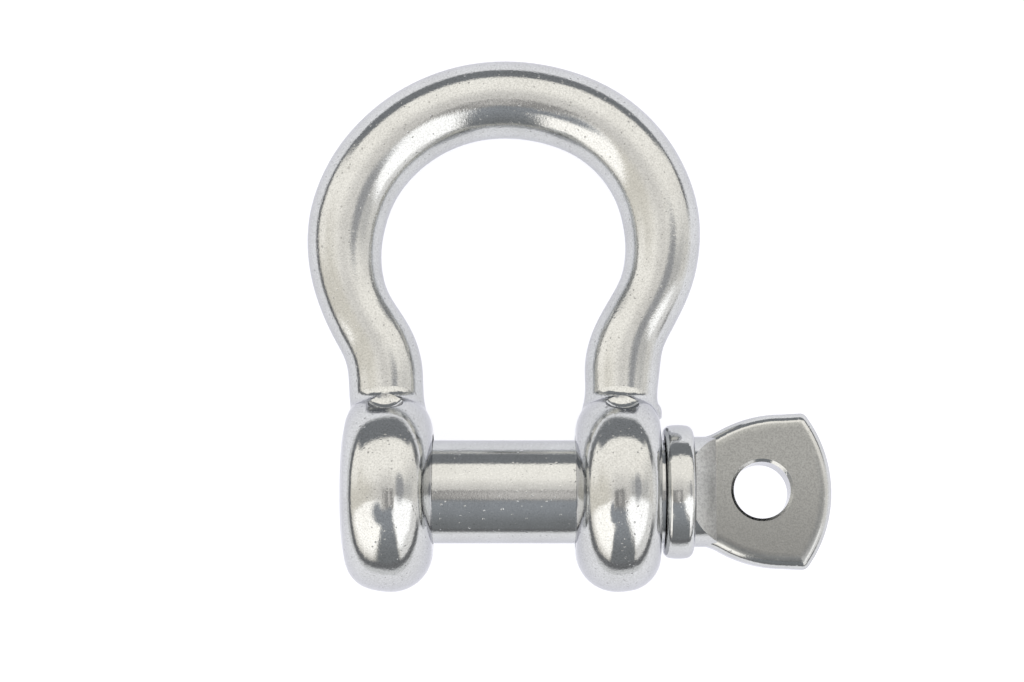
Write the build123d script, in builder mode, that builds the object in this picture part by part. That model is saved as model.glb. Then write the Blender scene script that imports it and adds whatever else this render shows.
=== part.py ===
from build123d import *
import os
from collections import namedtuple
from math import asin, cos, degrees, pi, radians, sqrt, tan

# Bow shackle with a screw pin, lying on its side: a forged bow and its pin.
#
# Row frame, mm: the origin is on the pin's axis, midway between the eyes. +X runs along the pin towards its
# tab, +Y towards the crown of the bow, and +Z up from the surface that the shackle lies on.

os.makedirs("parts", exist_ok=True)

# ---------------------------------------------------------------- driving dimensions, mm and degrees
pin_diameter = 10.0
jaw_width = 13.8  # clear gap between the eyes
crown_height = 39.0  # pin axis to the bar's centre at the crown

# Bow: each half of its centre line runs from the crown down to an eye, as four tangent arcs and a straight
# leg. The bar is bent hot, and its two halves differ a little. waist_lean is how far the bar leans inwards
# where its bend reverses.
HalfBow = namedtuple(
    "HalfBow",
    "crown_radius crown_turn shoulder_radius waist_lean waist_radius waist_turn leg_radius",
)
tapped_half = HalfBow(16.1, 52.0, 14.2, 34.7, 7.4, 13.3, 14.3)
plain_half = HalfBow(18.75, 21.5, 13.75, 33.9, 9.3, 21.4, 21.5)

# Bar section at stations from the crown (0) to the leg's root in its eye (1): place along the half bow,
# width in the bow's plane, thickness across it
bar_stations = (
    (0.0, 7.65, 7.65),
    (0.46, 7.6, 7.5),
    (0.69, 6.8, 7.4),
    (0.86, 7.3, 7.4),
    (1.0, 7.3, 7.4),
)
bar_sections = 29  # sections that the bar is lofted through
root_depth = 5.5  # height of that last section above the pin's axis

# Eyes
eye_radius = 9.7
eye_crown_radius = 7.5  # profile of the eye's rim, across its width
eye_blend = 1.4  # fillet between leg and eye
tapped_eye_width = 9.2
tapped_eye_dome = 1.1  # how far an eye's outer side falls back at its rim
tapped_outer_round, tapped_inner_round = 3.2, 4.0
plain_eye_width = 8.4
plain_eye_dome = 0.2
plain_outer_round, plain_inner_round = 3.5, 4.0
plain_bore_diameter = 10.6
plain_bore_chamfer = 0.25
spot_face_diameter = 14.5
spot_face_depth = 0.3
countersink_diameter = 11.4

# Lens-shaped forging dents, one where each leg meets its eye, on the upper side
dent_half_length = 2.2
dent_radius = 1.6
dent_along = 8.75  # its axis from the pin's axis
tapped_dent_above, plain_dent_above = 5.45, 5.65  # its axis over the bow's middle plane

# Thread. The crests in the eye are relieved, so that the pin also draws straight through them.
thread_pitch = 1.5
thread_flank = 30.0
ridge_root_width = 1.3
ridge_bite = 0.3  # how deep the ridge is let into its core
pin_crest_radius = 4.95
pin_thread_height = 0.8
eye_crest_radius = 5.1
eye_thread_depth = 0.5

# Pin
pin_end_recess = 0.6  # the threaded end stops short of the tapped eye's outer side
pin_end_chamfer = 0.9
shank_chamfer = 0.3
shank_start = 0.1  # the full shank begins this far inside the tapped eye
collar_gap = 0.4  # the pin is backed off by this much
collar_diameter = 13.0
collar_width = 2.9
collar_crown_radius = 5.0  # profile of its rim, across its width
collar_round = 0.75
neck_diameter = 10.7

# Tab
tab_thickness = 4.0
tab_root_height = 10.3  # where the flat tab leaves the neck
tab_height = 15.2
tab_reach = 13.4  # collar's outer face to the tab's end
tab_end_radius = 12.5
flare_radius, flare_turn = 4.8, 30.0
side_radius = 12.6
tab_corner_round = 0.7
tab_edge_round = 1.4
facet_height, facet_end = 4.4, 2.15  # sloping facets, from the collar's outer face down to the tab
tab_eye_diameter = 5.5
tab_eye_chamfer = 0.28
tab_eye_reach = 6.6  # collar's outer face to the tab eye's centre

# ---------------------------------------------------------------- worked out from those
jaw_half = jaw_width / 2
rest_tilt = degrees(asin((eye_radius - bar_stations[0][1] / 2) / crown_height))
bow_plane = Plane.XY.rotated((-rest_tilt, 0, 0))  # the shackle rests on both eyes and the crown
edge_on = Plane((0, 0, 0), x_dir=(1, 0, 0), z_dir=-bow_plane.y_dir)  # y is the bow plane's z
foot_plane = bow_plane.rotated((180, 0, 0))  # y runs away from the crown
tapped_outer = -jaw_half - tapped_eye_width
plain_outer = jaw_half + plain_eye_width
pin_end = tapped_outer + pin_end_recess
pin_root_radius = pin_crest_radius - pin_thread_height
collar_inner = plain_outer - spot_face_depth + collar_gap
collar_outer = collar_inner + collar_width


def drop(radius, half_width):
    """How far an arc of that radius falls from its middle to its ends."""
    return radius - sqrt(radius**2 - half_width**2)


def half_bow(half, side):
    """Draws a half of the bow's centre line, towards +X if side is 1 and -X if -1, and returns its leg's x."""
    crown = JernArc((0, crown_height), (side, 0), half.crown_radius, -side * half.crown_turn)
    shoulder_turn = 90 + half.waist_lean - half.crown_turn
    shoulder = JernArc(crown @ 1, crown % 1, half.shoulder_radius, -side * shoulder_turn)
    waist = JernArc(shoulder @ 1, shoulder % 1, half.waist_radius, side * half.waist_turn)
    leg_turn = half.waist_lean - half.waist_turn
    upper_leg = JernArc(waist @ 1, waist % 1, half.leg_radius, side * leg_turn)
    leg_x = bow_plane.to_local_coords(upper_leg @ 1).X
    Line(upper_leg @ 1, bow_plane.from_local_coords((leg_x, root_depth)))
    return leg_x


def square_to_bar(position):
    """Plane across the bar: its x is the thickness, its y the width in the bow's plane."""
    return Plane(
        centre_line @ position, x_dir=-bow_plane.z_dir, z_dir=centre_line % position
    )


def bar_size(from_crown):
    """Width and thickness of the bar, from 0 at the crown to 1 at a leg's root, eased between stations."""
    for (start, *sizes), (end, *next_sizes) in zip(bar_stations, bar_stations[1:]):
        if from_crown <= end:
            blend = (1 - cos(pi * (from_crown - start) / (end - start))) / 2
            return [a + blend * (b - a) for a, b in zip(sizes, next_sizes)]
    return bar_stations[-1][1:]


def square_to_pin(x):
    """Plane across the pin, facing its tab."""
    return Plane((x, 0, 0), x_dir=(0, 1, 0), z_dir=(1, 0, 0))


def eye_profile(inner_x, outer_x, dome, inner_round, outer_round):
    """Half section of an eye blank, from the pin's axis out to its crowned and rounded rim."""
    rim_x = outer_x + dome
    rim_middle = (inner_x + rim_x) / 2
    rim_radius = eye_radius - drop(eye_crown_radius, abs(inner_x - rim_x) / 2)
    with BuildSketch(foot_plane, mode=Mode.PRIVATE) as profile:
        with BuildLine():
            side = TangentArc((outer_x, 0), (rim_x, rim_radius), tangent=(0, 1))
            ThreePointArc(side @ 1, (rim_middle, eye_radius), (inner_x, rim_radius))
            Polyline((inner_x, rim_radius), (inner_x, 0), side @ 0)
        make_face()
        for corner, corner_round in ((inner_x, inner_round), (rim_x, outer_round)):
            nearest = profile.vertices().sort_by_distance((corner, rim_radius))[0]
            fillet(nearest, corner_round)
    return profile.sketch


def threaded_rod(core_radius, ridge_height, start_x, end_x):
    """Rod along X with a helical ridge: the pin's threaded end, and the cutter for the tapped eye."""
    length = end_x - start_x
    crest_width = ridge_root_width - 2 * ridge_height * tan(radians(thread_flank))
    with BuildLine(mode=Mode.PRIVATE) as turns:
        Helix(
            thread_pitch,
            length + 2 * thread_pitch,
            core_radius,
            center=(start_x - thread_pitch, 0, 0),
            direction=(1, 0, 0),
        )
    ridge_start = turns.line @ 0
    outwards = Vector(0, ridge_start.Y, ridge_start.Z)
    with BuildPart(mode=Mode.PRIVATE) as rod:
        with BuildSketch(Plane(ridge_start, x_dir=outwards, z_dir=turns.line % 0)):
            Polygon(
                (-ridge_bite, -ridge_root_width / 2),
                (ridge_height, -crest_width / 2),
                (ridge_height, crest_width / 2),
                (-ridge_bite, ridge_root_width / 2),
                align=None,
            )
        sweep(path=turns.line, is_frenet=True)
        # The core is longer than the ridge, and both are then cut to length
        with BuildSketch(square_to_pin(start_x - 2 * thread_pitch)):
            Circle(core_radius)
        extrude(amount=length + 4 * thread_pitch)
        with BuildSketch(square_to_pin(start_x)):
            Circle(core_radius + 2 * ridge_height)
        extrude(amount=length, mode=Mode.INTERSECT)
    return rod.part


# ---------------------------------------------------------------- bow
with BuildLine(bow_plane) as bow_line:
    tapped_leg_x = half_bow(tapped_half, -1)
    plain_leg_x = half_bow(plain_half, 1)
centre_line = bow_line.wires()[0]

with BuildPart() as bow_body:
    # The bar, lofted along the whole centre line
    for step in range(bar_sections):
        position = step / (bar_sections - 1)
        width, thickness = bar_size(abs(2 * position - 1))
        with BuildSketch(square_to_bar(position)):
            Ellipse(thickness / 2, width / 2)
    loft()

    # Eyes, blended into the legs
    tapped_eye = eye_profile(
        -jaw_half, tapped_outer, tapped_eye_dome, tapped_inner_round, tapped_outer_round
    )
    revolve(tapped_eye, axis=Axis.X)
    fillet(bow_body.edges(Select.NEW), eye_blend)
    plain_eye = eye_profile(
        jaw_half, plain_outer, -plain_eye_dome, plain_inner_round, plain_outer_round
    )
    revolve(plain_eye, axis=Axis.X)
    fillet(bow_body.edges(Select.NEW), eye_blend)

    # Forging dents
    for dent_x, dent_above in ((tapped_leg_x, tapped_dent_above), (plain_leg_x, plain_dent_above)):
        dent = bow_plane.from_local_coords((dent_x, dent_along, dent_above))
        with BuildSketch(Plane(dent, x_dir=(1, 0, 0), z_dir=bow_plane.z_dir)):
            with BuildLine():
                lens = ThreePointArc(
                    (-dent_half_length, 0), (0, dent_radius), (dent_half_length, 0)
                )
                Line(lens @ 1, lens @ 0)
            make_face()
        revolve(axis=Axis(dent, (1, 0, 0)), mode=Mode.SUBTRACT)

    # Plain eye: clearance bore, and the flat that the collar seats on
    with Locations(square_to_pin(plain_outer)):
        CounterBoreHole(
            plain_bore_diameter / 2,
            spot_face_diameter / 2,
            spot_face_depth,
            depth=plain_eye_width,
        )
    bore_rims = bow_body.edges().filter_by(
        lambda rim: rim.geom_type == GeomType.CIRCLE
        and abs(rim.radius - plain_bore_diameter / 2) < 0.01
    )
    chamfer(bore_rims, plain_bore_chamfer)

    # Tapped eye: threaded right through and countersunk on its inner side
    add(
        threaded_rod(eye_crest_radius, eye_thread_depth, tapped_outer - 1, 1 - jaw_half),
        mode=Mode.SUBTRACT,
    )
    with Locations(square_to_pin(-jaw_half)):
        CounterSinkHole(
            eye_crest_radius,
            countersink_diameter / 2,
            depth=tapped_eye_width,
            counter_sink_angle=90,
        )

# ---------------------------------------------------------------- screw pin
with BuildPart() as tab:
    with BuildSketch(bow_plane):
        with BuildLine():
            tab_root = Polyline(
                (collar_outer - collar_width / 2, 0),
                (collar_outer - collar_width / 2, tab_root_height / 2),
                (collar_outer, tab_root_height / 2),
            )
            flare = JernArc(tab_root @ 1, (1, 0), flare_radius, flare_turn)
            side_arc = JernArc(flare @ 1, flare % 1, side_radius, -flare_turn)
            end_arc = JernArc(
                (collar_outer + tab_reach, 0),
                (0, 1),
                tab_end_radius,
                degrees(asin(tab_height / 2 / tab_end_radius)),
            )
            Line(side_arc @ 1, end_arc @ 1)
            mirror(about=Plane.XZ)
        make_face()
    extrude(amount=tab_thickness / 2, both=True)
    tab_corners = (
        tab.edges().filter_by(Axis((0, 0, 0), bow_plane.z_dir)).group_by(Axis.X)[-1]
    )
    fillet(tab_corners, tab_corner_round)
    broad_faces = tab.faces().filter_by(Axis((0, 0, 0), bow_plane.z_dir))
    fillet(broad_faces.edges(), tab_edge_round)

with BuildPart() as screw_pin:
    # Shank, collar and neck, turned about the pin's axis
    shank_x = -jaw_half - shank_start
    collar_rim_radius = collar_diameter / 2 - drop(collar_crown_radius, collar_width / 2)
    with BuildSketch(bow_plane):
        with BuildLine():
            shank_line = Polyline(
                (shank_x - shank_chamfer, 0),
                (shank_x - shank_chamfer, pin_diameter / 2 - shank_chamfer),
                (shank_x, pin_diameter / 2),
                (collar_inner, pin_diameter / 2),
                (collar_inner, collar_rim_radius),
            )
            collar_line = ThreePointArc(
                shank_line @ 1,
                (collar_inner + collar_width / 2, collar_diameter / 2),
                (collar_outer, collar_rim_radius),
            )
            Polyline(
                collar_line @ 1,
                (collar_outer, neck_diameter / 2),
                (collar_outer + facet_end, neck_diameter / 2),
                (collar_outer + facet_end, 0),
                shank_line @ 0,
            )
        make_face()
    revolve(axis=Axis.X)
    # Sloping facets, from the collar's face down to the tab's faces
    with BuildSketch(edge_on):
        Polygon(
            (collar_outer, facet_height),
            (collar_outer + facet_end, tab_thickness / 2),
            (collar_outer + facet_end + 1, tab_thickness / 2),
            (collar_outer + facet_end + 1, neck_diameter),
            (collar_outer, neck_diameter),
            align=None,
        )
        mirror(about=Plane.XZ)
    extrude(amount=neck_diameter, both=True, mode=Mode.SUBTRACT)
    collar_rims = screw_pin.edges().filter_by(
        lambda rim: rim.geom_type == GeomType.CIRCLE
        and abs(rim.radius - collar_rim_radius) < 0.01
    )
    fillet(collar_rims, collar_round)
    add(tab.part)

    # Tab eye
    with Locations(Plane((collar_outer + tab_eye_reach, 0, 0), x_dir=(1, 0, 0), z_dir=bow_plane.z_dir)):
        Hole(tab_eye_diameter / 2)
    eye_rims = screw_pin.edges().filter_by(
        lambda rim: rim.geom_type == GeomType.CIRCLE
        and abs(rim.radius - tab_eye_diameter / 2) < 0.01
    )
    chamfer(eye_rims, tab_eye_chamfer)

    # Threaded end, pointed by a chamfer
    thread_end = shank_x - shank_chamfer
    add(threaded_rod(pin_root_radius, pin_thread_height, pin_end, thread_end))
    with BuildSketch(bow_plane):
        Polygon(
            (pin_end - 1, pin_crest_radius - pin_end_chamfer - 1),
            (pin_end + pin_end_chamfer + 1, pin_crest_radius + 1),
            (pin_end - 1, pin_crest_radius + 1),
            align=None,
        )
    revolve(axis=Axis.X, mode=Mode.SUBTRACT)

bow_body.part.label = "bow_body"
export_step(bow_body.part, "parts/bow_body.step")
screw_pin.part.label = "screw_pin"
export_step(screw_pin.part, "parts/screw_pin.step")
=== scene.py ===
from math import degrees

import bpy
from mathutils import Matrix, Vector


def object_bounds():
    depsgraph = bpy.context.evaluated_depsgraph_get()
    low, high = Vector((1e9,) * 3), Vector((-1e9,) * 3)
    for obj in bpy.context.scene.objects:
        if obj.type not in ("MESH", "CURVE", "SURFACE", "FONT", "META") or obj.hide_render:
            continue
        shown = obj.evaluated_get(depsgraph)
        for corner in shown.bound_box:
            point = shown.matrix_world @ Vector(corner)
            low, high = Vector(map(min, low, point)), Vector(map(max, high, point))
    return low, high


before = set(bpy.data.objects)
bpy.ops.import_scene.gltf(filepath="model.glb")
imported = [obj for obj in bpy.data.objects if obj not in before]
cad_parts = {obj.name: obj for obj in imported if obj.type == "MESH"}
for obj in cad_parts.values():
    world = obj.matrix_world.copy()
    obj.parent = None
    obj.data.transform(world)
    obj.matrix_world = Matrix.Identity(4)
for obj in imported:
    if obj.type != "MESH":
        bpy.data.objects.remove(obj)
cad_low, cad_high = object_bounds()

# A stainless bow shackle lying on a pale floor, seen from straight above.
# The pin runs along X through the origin, the crown of the bow is towards +Y, and +Z is up.

MM = 0.001

# Camera
CAMERA_HEIGHT = 260 * MM
CAMERA_LENS = 94.15
SENSOR_WIDTH = 36.0
CLIP_START = 10 * MM
AIM_FROM_CENTRE = Vector((-5.4 * MM, -1.7 * MM, 0))

# Floor
FLOOR_SIZE = 150 * MM
FLOOR_ROUGHNESS = 0.9
FLOOR_TINT = (0.34, 0.34, 0.355, 1)
FLOOR_GLOW = (0.975, 0.98, 1.02, 1)
FLOOR_GLOW_STRENGTH = 0.82

# Studio surroundings, as brightness by direction
NEAR_ZENITH = (0.94, 0.905, 0.86)
OVERHEAD = (1.36, 1.31, 1.22)
LEFT_WALL = (1.02, 0.97, 0.87)
RIGHT_WALL = (0.98, 0.95, 0.90)
RIGHT_SOFTBOX = (1.78, 1.76, 1.74)
RIGHT_CARD = (1.10, 1.08, 1.06)
LEFT_SOFTBOX = (1.70, 1.65, 1.57)
LEFT_SOFTBOX_FOOT = (0.80, 0.76, 0.70)
GREY_FLAG = (0.50, 0.50, 0.51)
DARK_GAP = (0.40, 0.42, 0.45)
DARK_GAP_FOOT = (0.26, 0.27, 0.28)
DARK_BACKDROP = (0.27, 0.28, 0.295)
DARK_UNDER = (0.22, 0.222, 0.23)
FAR_FLOOR = (0.90, 0.90, 0.91)
BACKGROUND = (1.0, 1.0, 1.0)

# Turns about Z, in degrees from -Y towards +X, that each of them takes up
FAR_WALL_TURN = (96, 135)  # a fade, on either side
BRIGHT_WALL_TURN = (-140, -98)
LOW_WALL_TURN = (84, 104)
RIGHT_BOX_TURN = (24, 83)
LEFT_BOX_TURN = (-74, -16)
GAP_TURN = (-16, 21)
RIGHT_CARD_TURN = (72, 108)
BOX_SOFTNESS = 3
CARD_SOFTNESS = 8
WALL_SOFTNESS = 9

# Degrees from straight up, over which each of them comes in or changes to its next colour
NEAR_ZENITH_FADE = (8, 38)
BRIGHT_WALL_TOP = (52, 72)
LOW_WALL_HEIGHT = (40, 68)
LOW_WALL_SHARE = 0.45
RIGHT_BOX_TOP = (13, 19)
RIGHT_BOX_FOOT = (64, 74)
LEFT_BOX_TOP = (12, 18)
LEFT_BOX_FOOT = (68, 92)
GAP_TOP = (14, 20)
GAP_FOOT = (25, 80)

# Discs on a ceiling 1 above the object: centre's x and y, radius and softness
GAP_DISC = (-0.13, -0.42, 0.34, 0.06)
FLAG_DISC = (0.64, 0.16, 0.31, 0.14)

# Joins that follow the direction's own x, y or z
WALL_JOIN_X = (-0.3, 0.3)
BACKDROP_Y = (0.60, 0.74)
BACKDROP_RISE_WITH_Y = 0.41
BACKDROP_FALL_WITH_X = 0.08
BACKDROP_EDGE = (-0.02, 0.04)
HORIZON_Z = (0.02, 0.09)
UNDER_BACKDROP_Y = (0.4, 0.7)
FAR_FLOOR_Z = (-0.17, -0.10)
LOWEST_RISE = 0.05

# Grey card behind the camera, with a paler strip down its middle, a dark foot and faded edges
CARD_SIZE = (110 * MM, 123 * MM)
CARD_FROM_CAMERA = Vector((0, -38.5 * MM, 4 * MM))
CARD_MIDDLE = (0.84, 0.805, 0.775, 1)
CARD_EDGE = (0.38, 0.37, 0.36, 1)
CARD_FOOT = (0.37, 0.38, 0.40, 1)
STRIP_CENTRE = (4 * MM, 8 * MM)
STRIP_HALF = (21 * MM, 70 * MM)
STRIP_FADE = (0.45, 1.0)
FOOT_START = (-53 * MM, -39 * MM)
SIDE_FADE = (34 * MM, 55 * MM)
TOP_FADE = (48 * MM, 61 * MM)

# Metal
EDGE_TINT = (0.80, 0.80, 0.84, 1)
POLISHED = (0.59, 0.60, 0.597, 1)
DULLED = (0.552, 0.56, 0.556, 1)
PIT = (0.16, 0.155, 0.15, 1)
GLINT = (0.85, 0.86, 0.865, 1)
SATIN = (0.405, 0.412, 0.408, 1)
SATIN_DARK = (0.31, 0.316, 0.312, 1)
SATIN_PAINTED_SHADE = (0.22, 0.223, 0.22, 1)
GROUND = (0.97, 0.98, 0.97, 1)
GROUND_DARK = (0.63, 0.635, 0.63, 1)
CLOUD_RANGE = (0.35, 0.65)
GRAIN_RANGE = (0.35, 0.70)

# Where a finish starts or ends on the bow and on the pin
BAR_START_Y = (6 * MM, 14 * MM)
FACET_X = (18.2 * MM, 20.45 * MM)
FACET_SOFTNESS = 0.02 * MM
TAB_START_X = (20.4 * MM, 20.5 * MM)
# Painted shade on the tab: it darkens towards -Y over this span, by this share
TAB_SHADE_Y = (-6.5 * MM, 3 * MM)
TAB_SHADE_SHARE = 0.55


class Graph:
    """A node tree with short calls for adding nodes. An input takes a number, a colour or a socket."""

    def __init__(self, tree):
        self.tree = tree

    def add(self, kind, inputs=None, **settings):
        node = self.tree.nodes.new(kind)
        for name, value in settings.items():
            setattr(node, name, value)
        for name, value in (inputs or {}).items():
            self.feed(node.inputs[name], value)
        return node

    def feed(self, socket, value):
        if isinstance(value, bpy.types.NodeSocket):
            self.tree.links.new(value, socket)
        else:
            socket.default_value = value

    def math(self, operation, a, b=0.0):
        node = self.add("ShaderNodeMath", {0: a, 1: b}, operation=operation)
        return node.outputs[0]

    def ramp(self, value, start, end, low=0.0, high=1.0):
        """low up to start, high from end on, and a smooth step between."""
        inputs = {"Value": value, "From Min": start, "From Max": end, "To Min": low, "To Max": high}
        return self.add("ShaderNodeMapRange", inputs, interpolation_type="SMOOTHSTEP").outputs[0]

    def band(self, value, start, end, soft):
        """1 between start and end, and 0 outside, with edges that wide."""
        rise = self.ramp(value, start - soft, start + soft)
        fall = self.ramp(value, end - soft, end + soft, 1.0, 0.0)
        return self.math("MULTIPLY", rise, fall)

    def both(self, *masks):
        """1 where every mask is 1."""
        product = masks[0]
        for mask in masks[1:]:
            product = self.math("MULTIPLY", product, mask)
        return product

    def length(self, a, b):
        """How long the vector (a, b) is."""
        squares = self.math("ADD", self.math("MULTIPLY", a, a), self.math("MULTIPLY", b, b))
        return self.math("SQRT", squares)

    def mix(self, mask, a, b):
        node = self.add("ShaderNodeMix", data_type="RGBA")
        self.feed(node.inputs[0], mask)
        self.feed(node.inputs[6], a)
        self.feed(node.inputs[7], b)
        return node.outputs[2]

    def blend(self, mask, a, b):
        """A number that goes from a to b with mask."""
        node = self.add("ShaderNodeMix", data_type="FLOAT")
        self.feed(node.inputs[0], mask)
        self.feed(node.inputs[2], a)
        self.feed(node.inputs[3], b)
        return node.outputs[0]

    def noise(self, where, per_mm, detail=2.0, roughness=0.5):
        inputs = {"Vector": where, "Scale": per_mm / MM, "Detail": detail, "Roughness": roughness}
        return self.add("ShaderNodeTexNoise", inputs).outputs[0]

    def bump(self, height, depth_mm, under=None):
        inputs = {"Height": height, "Distance": depth_mm * MM, "Strength": 1.0}
        if under is not None:
            inputs["Normal"] = under
        return self.add("ShaderNodeBump", inputs).outputs[0]


def rgba(colour):
    return (*colour, 1.0)


class Studio(Graph):
    """The world's node tree, with the direction looked in as numbers."""

    def __init__(self, tree):
        super().__init__(tree)
        direction = self.add("ShaderNodeTexCoord").outputs["Generated"]
        self.x, self.y, self.z = self.add("ShaderNodeSeparateXYZ", {0: direction}).outputs
        self.from_zenith = self.math("MULTIPLY", self.math("ARCCOSINE", self.z), degrees(1))
        # Counted from -Y, so that it jumps only at +Y
        turn = self.math("ARCTAN2", self.x, self.math("MULTIPLY", self.y, -1.0))
        self.turned = self.math("MULTIPLY", turn, degrees(1))
        rise = self.math("MAXIMUM", self.z, LOWEST_RISE)
        self.ceiling_x = self.math("DIVIDE", self.x, rise)
        self.ceiling_y = self.math("DIVIDE", self.y, rise)

    def disc(self, centre_x, centre_y, radius, soft):
        """1 inside a disc on the ceiling."""
        away_x = self.math("SUBTRACT", self.ceiling_x, centre_x)
        away_y = self.math("SUBTRACT", self.ceiling_y, centre_y)
        away = self.length(away_x, away_y)
        return self.ramp(away, radius - soft, radius + soft, 1.0, 0.0)


def walls(g):
    """Pale walls all round, brighter behind the crown and low on the far left, and a duller zenith."""
    colour = g.mix(g.ramp(g.x, *WALL_JOIN_X), rgba(LEFT_WALL), rgba(RIGHT_WALL))
    far = g.ramp(g.math("ABSOLUTE", g.turned), *FAR_WALL_TURN)
    colour = g.mix(far, colour, rgba(OVERHEAD))
    turn = g.band(g.turned, *BRIGHT_WALL_TURN, WALL_SOFTNESS)
    bright = g.both(turn, g.ramp(g.from_zenith, *BRIGHT_WALL_TOP))
    colour = g.mix(bright, colour, rgba(OVERHEAD))
    return g.mix(g.ramp(g.from_zenith, *NEAR_ZENITH_FADE, 1.0, 0.0), colour, rgba(NEAR_ZENITH))


def dark_backdrop(g, colour):
    """A low dark backdrop towards +Y, a little lower on the right."""
    rise = g.math("MULTIPLY", g.y, BACKDROP_RISE_WITH_Y)
    top = g.math("SUBTRACT", rise, g.math("MULTIPLY", g.x, BACKDROP_FALL_WITH_X))
    below_top = g.ramp(g.math("SUBTRACT", top, g.z), *BACKDROP_EDGE)
    return g.mix(g.both(below_top, g.ramp(g.y, *BACKDROP_Y)), colour, rgba(DARK_BACKDROP))


def soft_boxes(g, colour):
    """Two tall soft boxes, to the right and left of the gap."""
    right = g.both(g.band(g.turned, *RIGHT_BOX_TURN, BOX_SOFTNESS), g.ramp(g.from_zenith, *RIGHT_BOX_TOP))
    box = g.mix(g.ramp(g.from_zenith, *RIGHT_BOX_FOOT), rgba(RIGHT_SOFTBOX), rgba(RIGHT_CARD))
    colour = g.mix(right, colour, box)
    left = g.both(g.band(g.turned, *LEFT_BOX_TURN, BOX_SOFTNESS), g.ramp(g.from_zenith, *LEFT_BOX_TOP))
    box = g.mix(g.ramp(g.from_zenith, *LEFT_BOX_FOOT), rgba(LEFT_SOFTBOX), rgba(LEFT_SOFTBOX_FOOT))
    return g.mix(left, colour, box)


def dark_gap(g, colour):
    """The dark room between the soft boxes, towards -Y."""
    gap_colour = g.mix(g.ramp(g.from_zenith, *GAP_FOOT), rgba(DARK_GAP), rgba(DARK_GAP_FOOT))
    gap = g.math("MAXIMUM", g.band(g.turned, *GAP_TURN, BOX_SOFTNESS), g.disc(*GAP_DISC))
    gap = g.both(gap, g.ramp(g.from_zenith, *GAP_TOP))
    return g.mix(gap, colour, gap_colour)


def grey_flags(g, colour):
    """Grey patches up to the right and on the right wall."""
    colour = g.mix(g.disc(*FLAG_DISC), colour, rgba(GREY_FLAG))
    turn = g.band(g.turned, *LOW_WALL_TURN, CARD_SOFTNESS)
    height = g.band(g.from_zenith, *LOW_WALL_HEIGHT, CARD_SOFTNESS)
    return g.mix(g.math("MULTIPLY", g.both(turn, height), LOW_WALL_SHARE), colour, rgba(GREY_FLAG))


def below_horizon(g, colour):
    """Dark foot of the walls, a white card on the right, and the pale floor beyond the modelled one."""
    under = g.mix(g.ramp(g.y, *UNDER_BACKDROP_Y), rgba(DARK_UNDER), rgba(DARK_BACKDROP))
    under = g.mix(g.band(g.turned, *RIGHT_CARD_TURN, CARD_SOFTNESS), under, rgba(RIGHT_CARD))
    under = g.mix(g.ramp(g.z, *FAR_FLOOR_Z, 1.0, 0.0), under, rgba(FAR_FLOOR))
    return g.mix(g.ramp(g.z, *HORIZON_Z, 1.0, 0.0), colour, under)


def surroundings():
    """Soft boxes, pale walls and dark gaps around the object, worked out from the direction looked in."""
    world = bpy.data.worlds.new("studio")
    world.use_nodes = True
    world.node_tree.nodes.clear()
    bpy.context.scene.world = world
    g = Studio(world.node_tree)
    colour = dark_backdrop(g, walls(g))
    colour = dark_gap(g, soft_boxes(g, colour))
    colour = below_horizon(g, grey_flags(g, colour))
    seen = g.add("ShaderNodeLightPath").outputs["Is Camera Ray"]
    colour = g.mix(seen, colour, rgba(BACKGROUND))
    background = g.add("ShaderNodeBackground", {"Color": colour, "Strength": 1.0})
    output = g.add("ShaderNodeOutputWorld")
    g.tree.links.new(background.outputs[0], output.inputs["Surface"])


def new_material(name):
    material = bpy.data.materials.new(name)
    material.use_nodes = True
    material.node_tree.nodes.clear()
    g = Graph(material.node_tree)
    shader = g.add("ShaderNodeBsdfPrincipled")
    output = g.add("ShaderNodeOutputMaterial")
    g.tree.links.new(shader.outputs[0], output.inputs["Surface"])
    return material, g, shader


def new_metal(name):
    material, g, shader = new_material(name)
    shader.inputs["Metallic"].default_value = 1.0
    shader.inputs["Specular Tint"].default_value = EDGE_TINT
    return material, g, shader


def sheet(name, centre, size, material):
    """A flat rectangle of the stage, in the XY plane, whose own origin is its middle."""
    half_x, half_y = size[0] / 2, size[1] / 2
    corners = [(-half_x, -half_y, 0), (half_x, -half_y, 0), (half_x, half_y, 0), (-half_x, half_y, 0)]
    mesh = bpy.data.meshes.new(name)
    mesh.from_pydata(corners, [], [(0, 1, 2, 3)])
    mesh.materials.append(material)
    plane = bpy.data.objects.new(name, mesh)
    plane.location = centre
    bpy.context.scene.collection.objects.link(plane)


def grey_card(eye):
    """A grey card just behind the camera, where the metal reflects it."""
    material, g, shader = new_material("grey_card")
    where = g.add("ShaderNodeTexCoord").outputs["Object"]
    x, y = g.add("ShaderNodeSeparateXYZ", {0: where}).outputs[:2]
    across = g.math("DIVIDE", g.math("SUBTRACT", x, STRIP_CENTRE[0]), STRIP_HALF[0])
    along = g.math("DIVIDE", g.math("SUBTRACT", y, STRIP_CENTRE[1]), STRIP_HALF[1])
    glow = g.mix(g.ramp(g.length(across, along), *STRIP_FADE), CARD_MIDDLE, CARD_EDGE)
    glow = g.mix(g.ramp(y, *FOOT_START), CARD_FOOT, glow)
    glow = g.mix(g.ramp(g.math("ABSOLUTE", x), *SIDE_FADE), glow, rgba(NEAR_ZENITH))
    glow = g.mix(g.ramp(y, *TOP_FADE), glow, rgba(NEAR_ZENITH))
    shader.inputs["Base Color"].default_value = (0, 0, 0, 1)
    shader.inputs["Specular IOR Level"].default_value = 0.0
    shader.inputs["Emission Strength"].default_value = 1.0
    g.feed(shader.inputs["Emission Color"], glow)
    sheet("grey_card", eye.location + CARD_FROM_CAMERA, CARD_SIZE, material)


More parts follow.
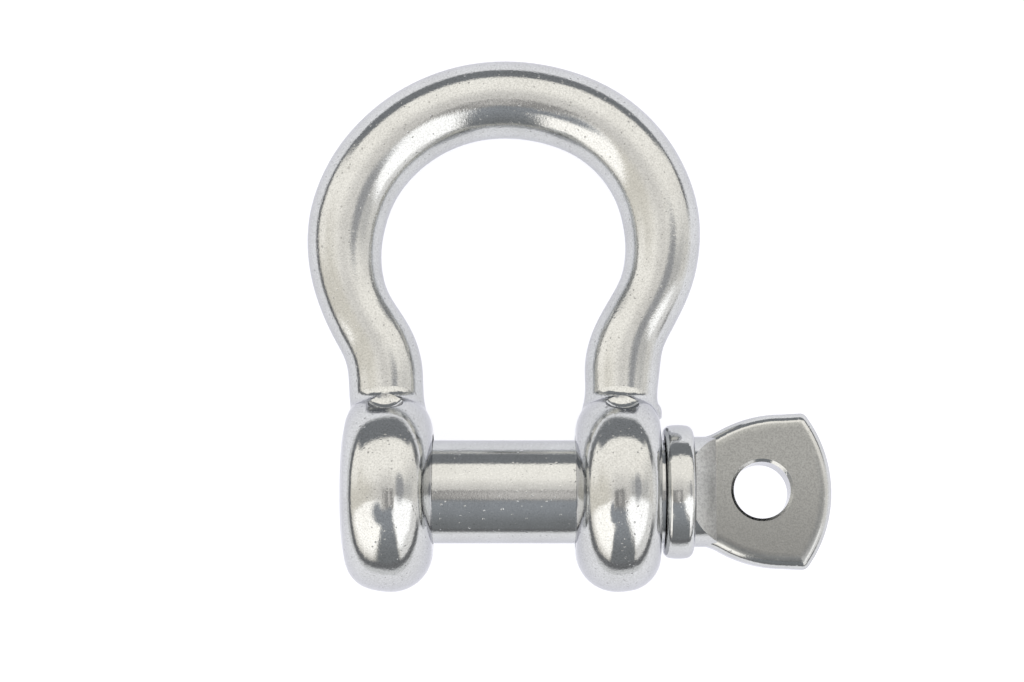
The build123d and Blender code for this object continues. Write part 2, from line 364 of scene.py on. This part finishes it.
def floor():
    material, g, shader = new_material("pale_floor")
    shader.inputs["Base Color"].default_value = FLOOR_TINT
    shader.inputs["Roughness"].default_value = FLOOR_ROUGHNESS
    shader.inputs["Specular IOR Level"].default_value = 0.0
    shader.inputs["Emission Color"].default_value = FLOOR_GLOW
    shader.inputs["Emission Strength"].default_value = FLOOR_GLOW_STRENGTH
    centre = (cad_low + cad_high) / 2
    sheet("floor", (centre.x, centre.y, cad_low.z), (FLOOR_SIZE, FLOOR_SIZE), material)


def camera():
    data = bpy.data.cameras.new("camera")
    data.lens = CAMERA_LENS
    data.sensor_width = SENSOR_WIDTH
    data.clip_start = CLIP_START
    eye = bpy.data.objects.new("camera", data)
    centre = (cad_low + cad_high) / 2
    eye.location = Vector((centre.x, centre.y, 0)) + AIM_FROM_CENTRE + Vector((0, 0, CAMERA_HEIGHT))
    bpy.context.scene.collection.objects.link(eye)
    bpy.context.scene.camera = eye
    return eye


def pits(g, where, per_mm, size, share):
    """Small round pits in a share of the cells of a random pattern: 1 in a pit, 0 outside."""
    inputs = {"Vector": where, "Scale": per_mm / MM, "Randomness": 1.0}
    cells = g.add("ShaderNodeTexVoronoi", inputs)
    pick = g.add("ShaderNodeSeparateColor", {0: cells.outputs["Color"]}).outputs
    chosen = g.ramp(pick[0], 1 - share, 1 - share + 0.02)
    radius = g.math("MULTIPLY", pick[1], size)
    depth = g.math("SUBTRACT", radius, cells.outputs["Distance"])
    return g.math("MULTIPLY", chosen, g.ramp(depth, 0.0, size * 0.5))


def speckled(g, clouds, speckle, dark, light):
    """Polished metal with duller clouds and with dark and light specks, each as (start, end, share)."""
    dark_start, dark_end, dark_share = dark
    light_start, light_end, light_share = light
    colour = g.mix(g.ramp(clouds, *CLOUD_RANGE), POLISHED, DULLED)
    colour = g.mix(g.ramp(speckle, dark_start, dark_end, dark_share, 0.0), colour, PIT)
    return g.mix(g.ramp(speckle, light_start, light_end, 0.0, light_share), colour, GLINT)


def finish_metal(g, shader, colour, roughness, normal):
    """Plugs what varies over the metal into its shader."""
    g.feed(shader.inputs["Base Color"], colour)
    g.feed(shader.inputs["Roughness"], roughness)
    g.feed(shader.inputs["Normal"], normal)


def forged_metal():
    """Tumbled forging: soft shine, fine grain that is rougher on the bar, slow waviness and pits."""
    material, g, shader = new_metal("forged_stainless")
    where = g.add("ShaderNodeTexCoord").outputs["Object"]
    clouds = g.noise(where, per_mm=0.25, detail=3.0)
    grain = g.noise(where, per_mm=4.2, detail=3.0, roughness=0.65)
    speckle = g.noise(where, per_mm=6.0, detail=2.0, roughness=0.7)
    waves = g.noise(where, per_mm=0.8, detail=2.0)
    y = g.add("ShaderNodeSeparateXYZ", {0: where}).outputs[1]
    rougher = g.ramp(y, *BAR_START_Y)
    small_pits = pits(g, where, per_mm=2.6, size=0.36, share=0.45)
    rare_pits = pits(g, where, per_mm=0.60, size=0.14, share=0.30)
    pitted = g.math("MAXIMUM", small_pits, rare_pits)

    colour = speckled(g, clouds, speckle, dark=(0.36, 0.48, 0.20), light=(0.52, 0.64, 0.22))
    colour = g.mix(g.math("MULTIPLY", pitted, 0.40), colour, PIT)
    roughness = g.blend(g.ramp(grain, *GRAIN_RANGE), 0.06, 0.11)
    roughness = g.math("ADD", roughness, g.math("MULTIPLY", rougher, 0.015))
    normal = g.bump(waves, depth_mm=0.007)
    grain_height = g.math("MULTIPLY", grain, g.blend(rougher, 0.45, 1.0))
    normal = g.bump(grain_height, depth_mm=0.009, under=normal)
    normal = g.bump(speckle, depth_mm=0.004, under=normal)
    normal = g.bump(pitted, depth_mm=-0.015, under=normal)
    finish_metal(g, shader, colour, roughness, normal)
    return material


def satin_with_painted_shade(g, speckle, y):
    """Colour of the pressed tab, with painted shade that darkens it towards -Y."""
    colour = g.mix(g.ramp(speckle, 0.36, 0.62), SATIN_DARK, SATIN)
    # Painted shade: the satin tab is mixed darker towards -Y
    return g.mix(g.ramp(y, *TAB_SHADE_Y, TAB_SHADE_SHARE, 0.0), colour, SATIN_PAINTED_SHADE)


def turned_metal():
    """Turned and polished pin with a satin tab, ground facets beside the collar and small dings."""
    material, g, shader = new_metal("pin_stainless")
    coordinates = g.add("ShaderNodeTexCoord")
    where = coordinates.outputs["Object"]
    x, y = g.add("ShaderNodeSeparateXYZ", {0: where}).outputs[:2]
    facing = g.add("ShaderNodeSeparateXYZ", {0: coordinates.outputs["Normal"]}).outputs
    facing_x = g.math("ABSOLUTE", facing[0])
    facing_z = g.math("ABSOLUTE", facing[2])
    satin = g.both(g.ramp(facing_z, 0.86, 0.93), g.ramp(x, *TAB_START_X))
    sloping = g.both(g.ramp(facing_z, 0.62, 0.70), g.ramp(facing_x, 0.30, 0.50))
    on_facet = g.both(g.band(x, *FACET_X, FACET_SOFTNESS), sloping)

    clouds = g.noise(where, per_mm=0.3, detail=3.0)
    grain = g.noise(where, per_mm=4.0, detail=3.0, roughness=0.65)
    speckle = g.noise(where, per_mm=6.0, detail=2.0, roughness=0.7)
    waves = g.noise(where, per_mm=0.6, detail=2.0)
    stretched = g.add("ShaderNodeMapping", {"Vector": where, "Scale": (0.15, 1.0, 1.0)}).outputs[0]
    streaks = g.noise(stretched, per_mm=4.0, detail=4.0, roughness=0.7)
    dings = pits(g, where, per_mm=2.2, size=0.36, share=0.40)
    specks = pits(g, where, per_mm=2.8, size=0.34, share=0.35)

    colour = speckled(g, clouds, speckle, dark=(0.34, 0.46, 0.12), light=(0.56, 0.68, 0.25))
    colour = g.mix(g.math("MULTIPLY", specks, 0.22), colour, PIT)
    colour = g.mix(satin, colour, satin_with_painted_shade(g, speckle, y))
    colour = g.mix(on_facet, colour, g.mix(g.ramp(streaks, 0.40, 0.60), GROUND_DARK, GROUND))
    roughness = g.blend(g.ramp(grain, *GRAIN_RANGE), 0.06, 0.12)
    roughness = g.blend(satin, roughness, 0.33)
    roughness = g.blend(on_facet, roughness, 0.50)
    normal = g.bump(waves, depth_mm=0.004)
    normal = g.bump(grain, depth_mm=0.008, under=normal)
    normal = g.bump(g.math("MULTIPLY", speckle, satin), depth_mm=0.008, under=normal)
    normal = g.bump(g.math("MULTIPLY", streaks, on_facet), depth_mm=0.016, under=normal)
    normal = g.bump(dings, depth_mm=0.013, under=normal)
    finish_metal(g, shader, colour, roughness, normal)
    return material


def dress(node, material):
    """Gives a CAD node its material in place of the plain one."""
    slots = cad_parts[node].data.materials
    slots.clear()
    slots.append(material)


eye = camera()
surroundings()
floor()
grey_card(eye)
dress("bow_body", forged_metal())
dress("screw_pin", turned_metal())
bpy.context.scene.view_settings.view_transform = "Standard"
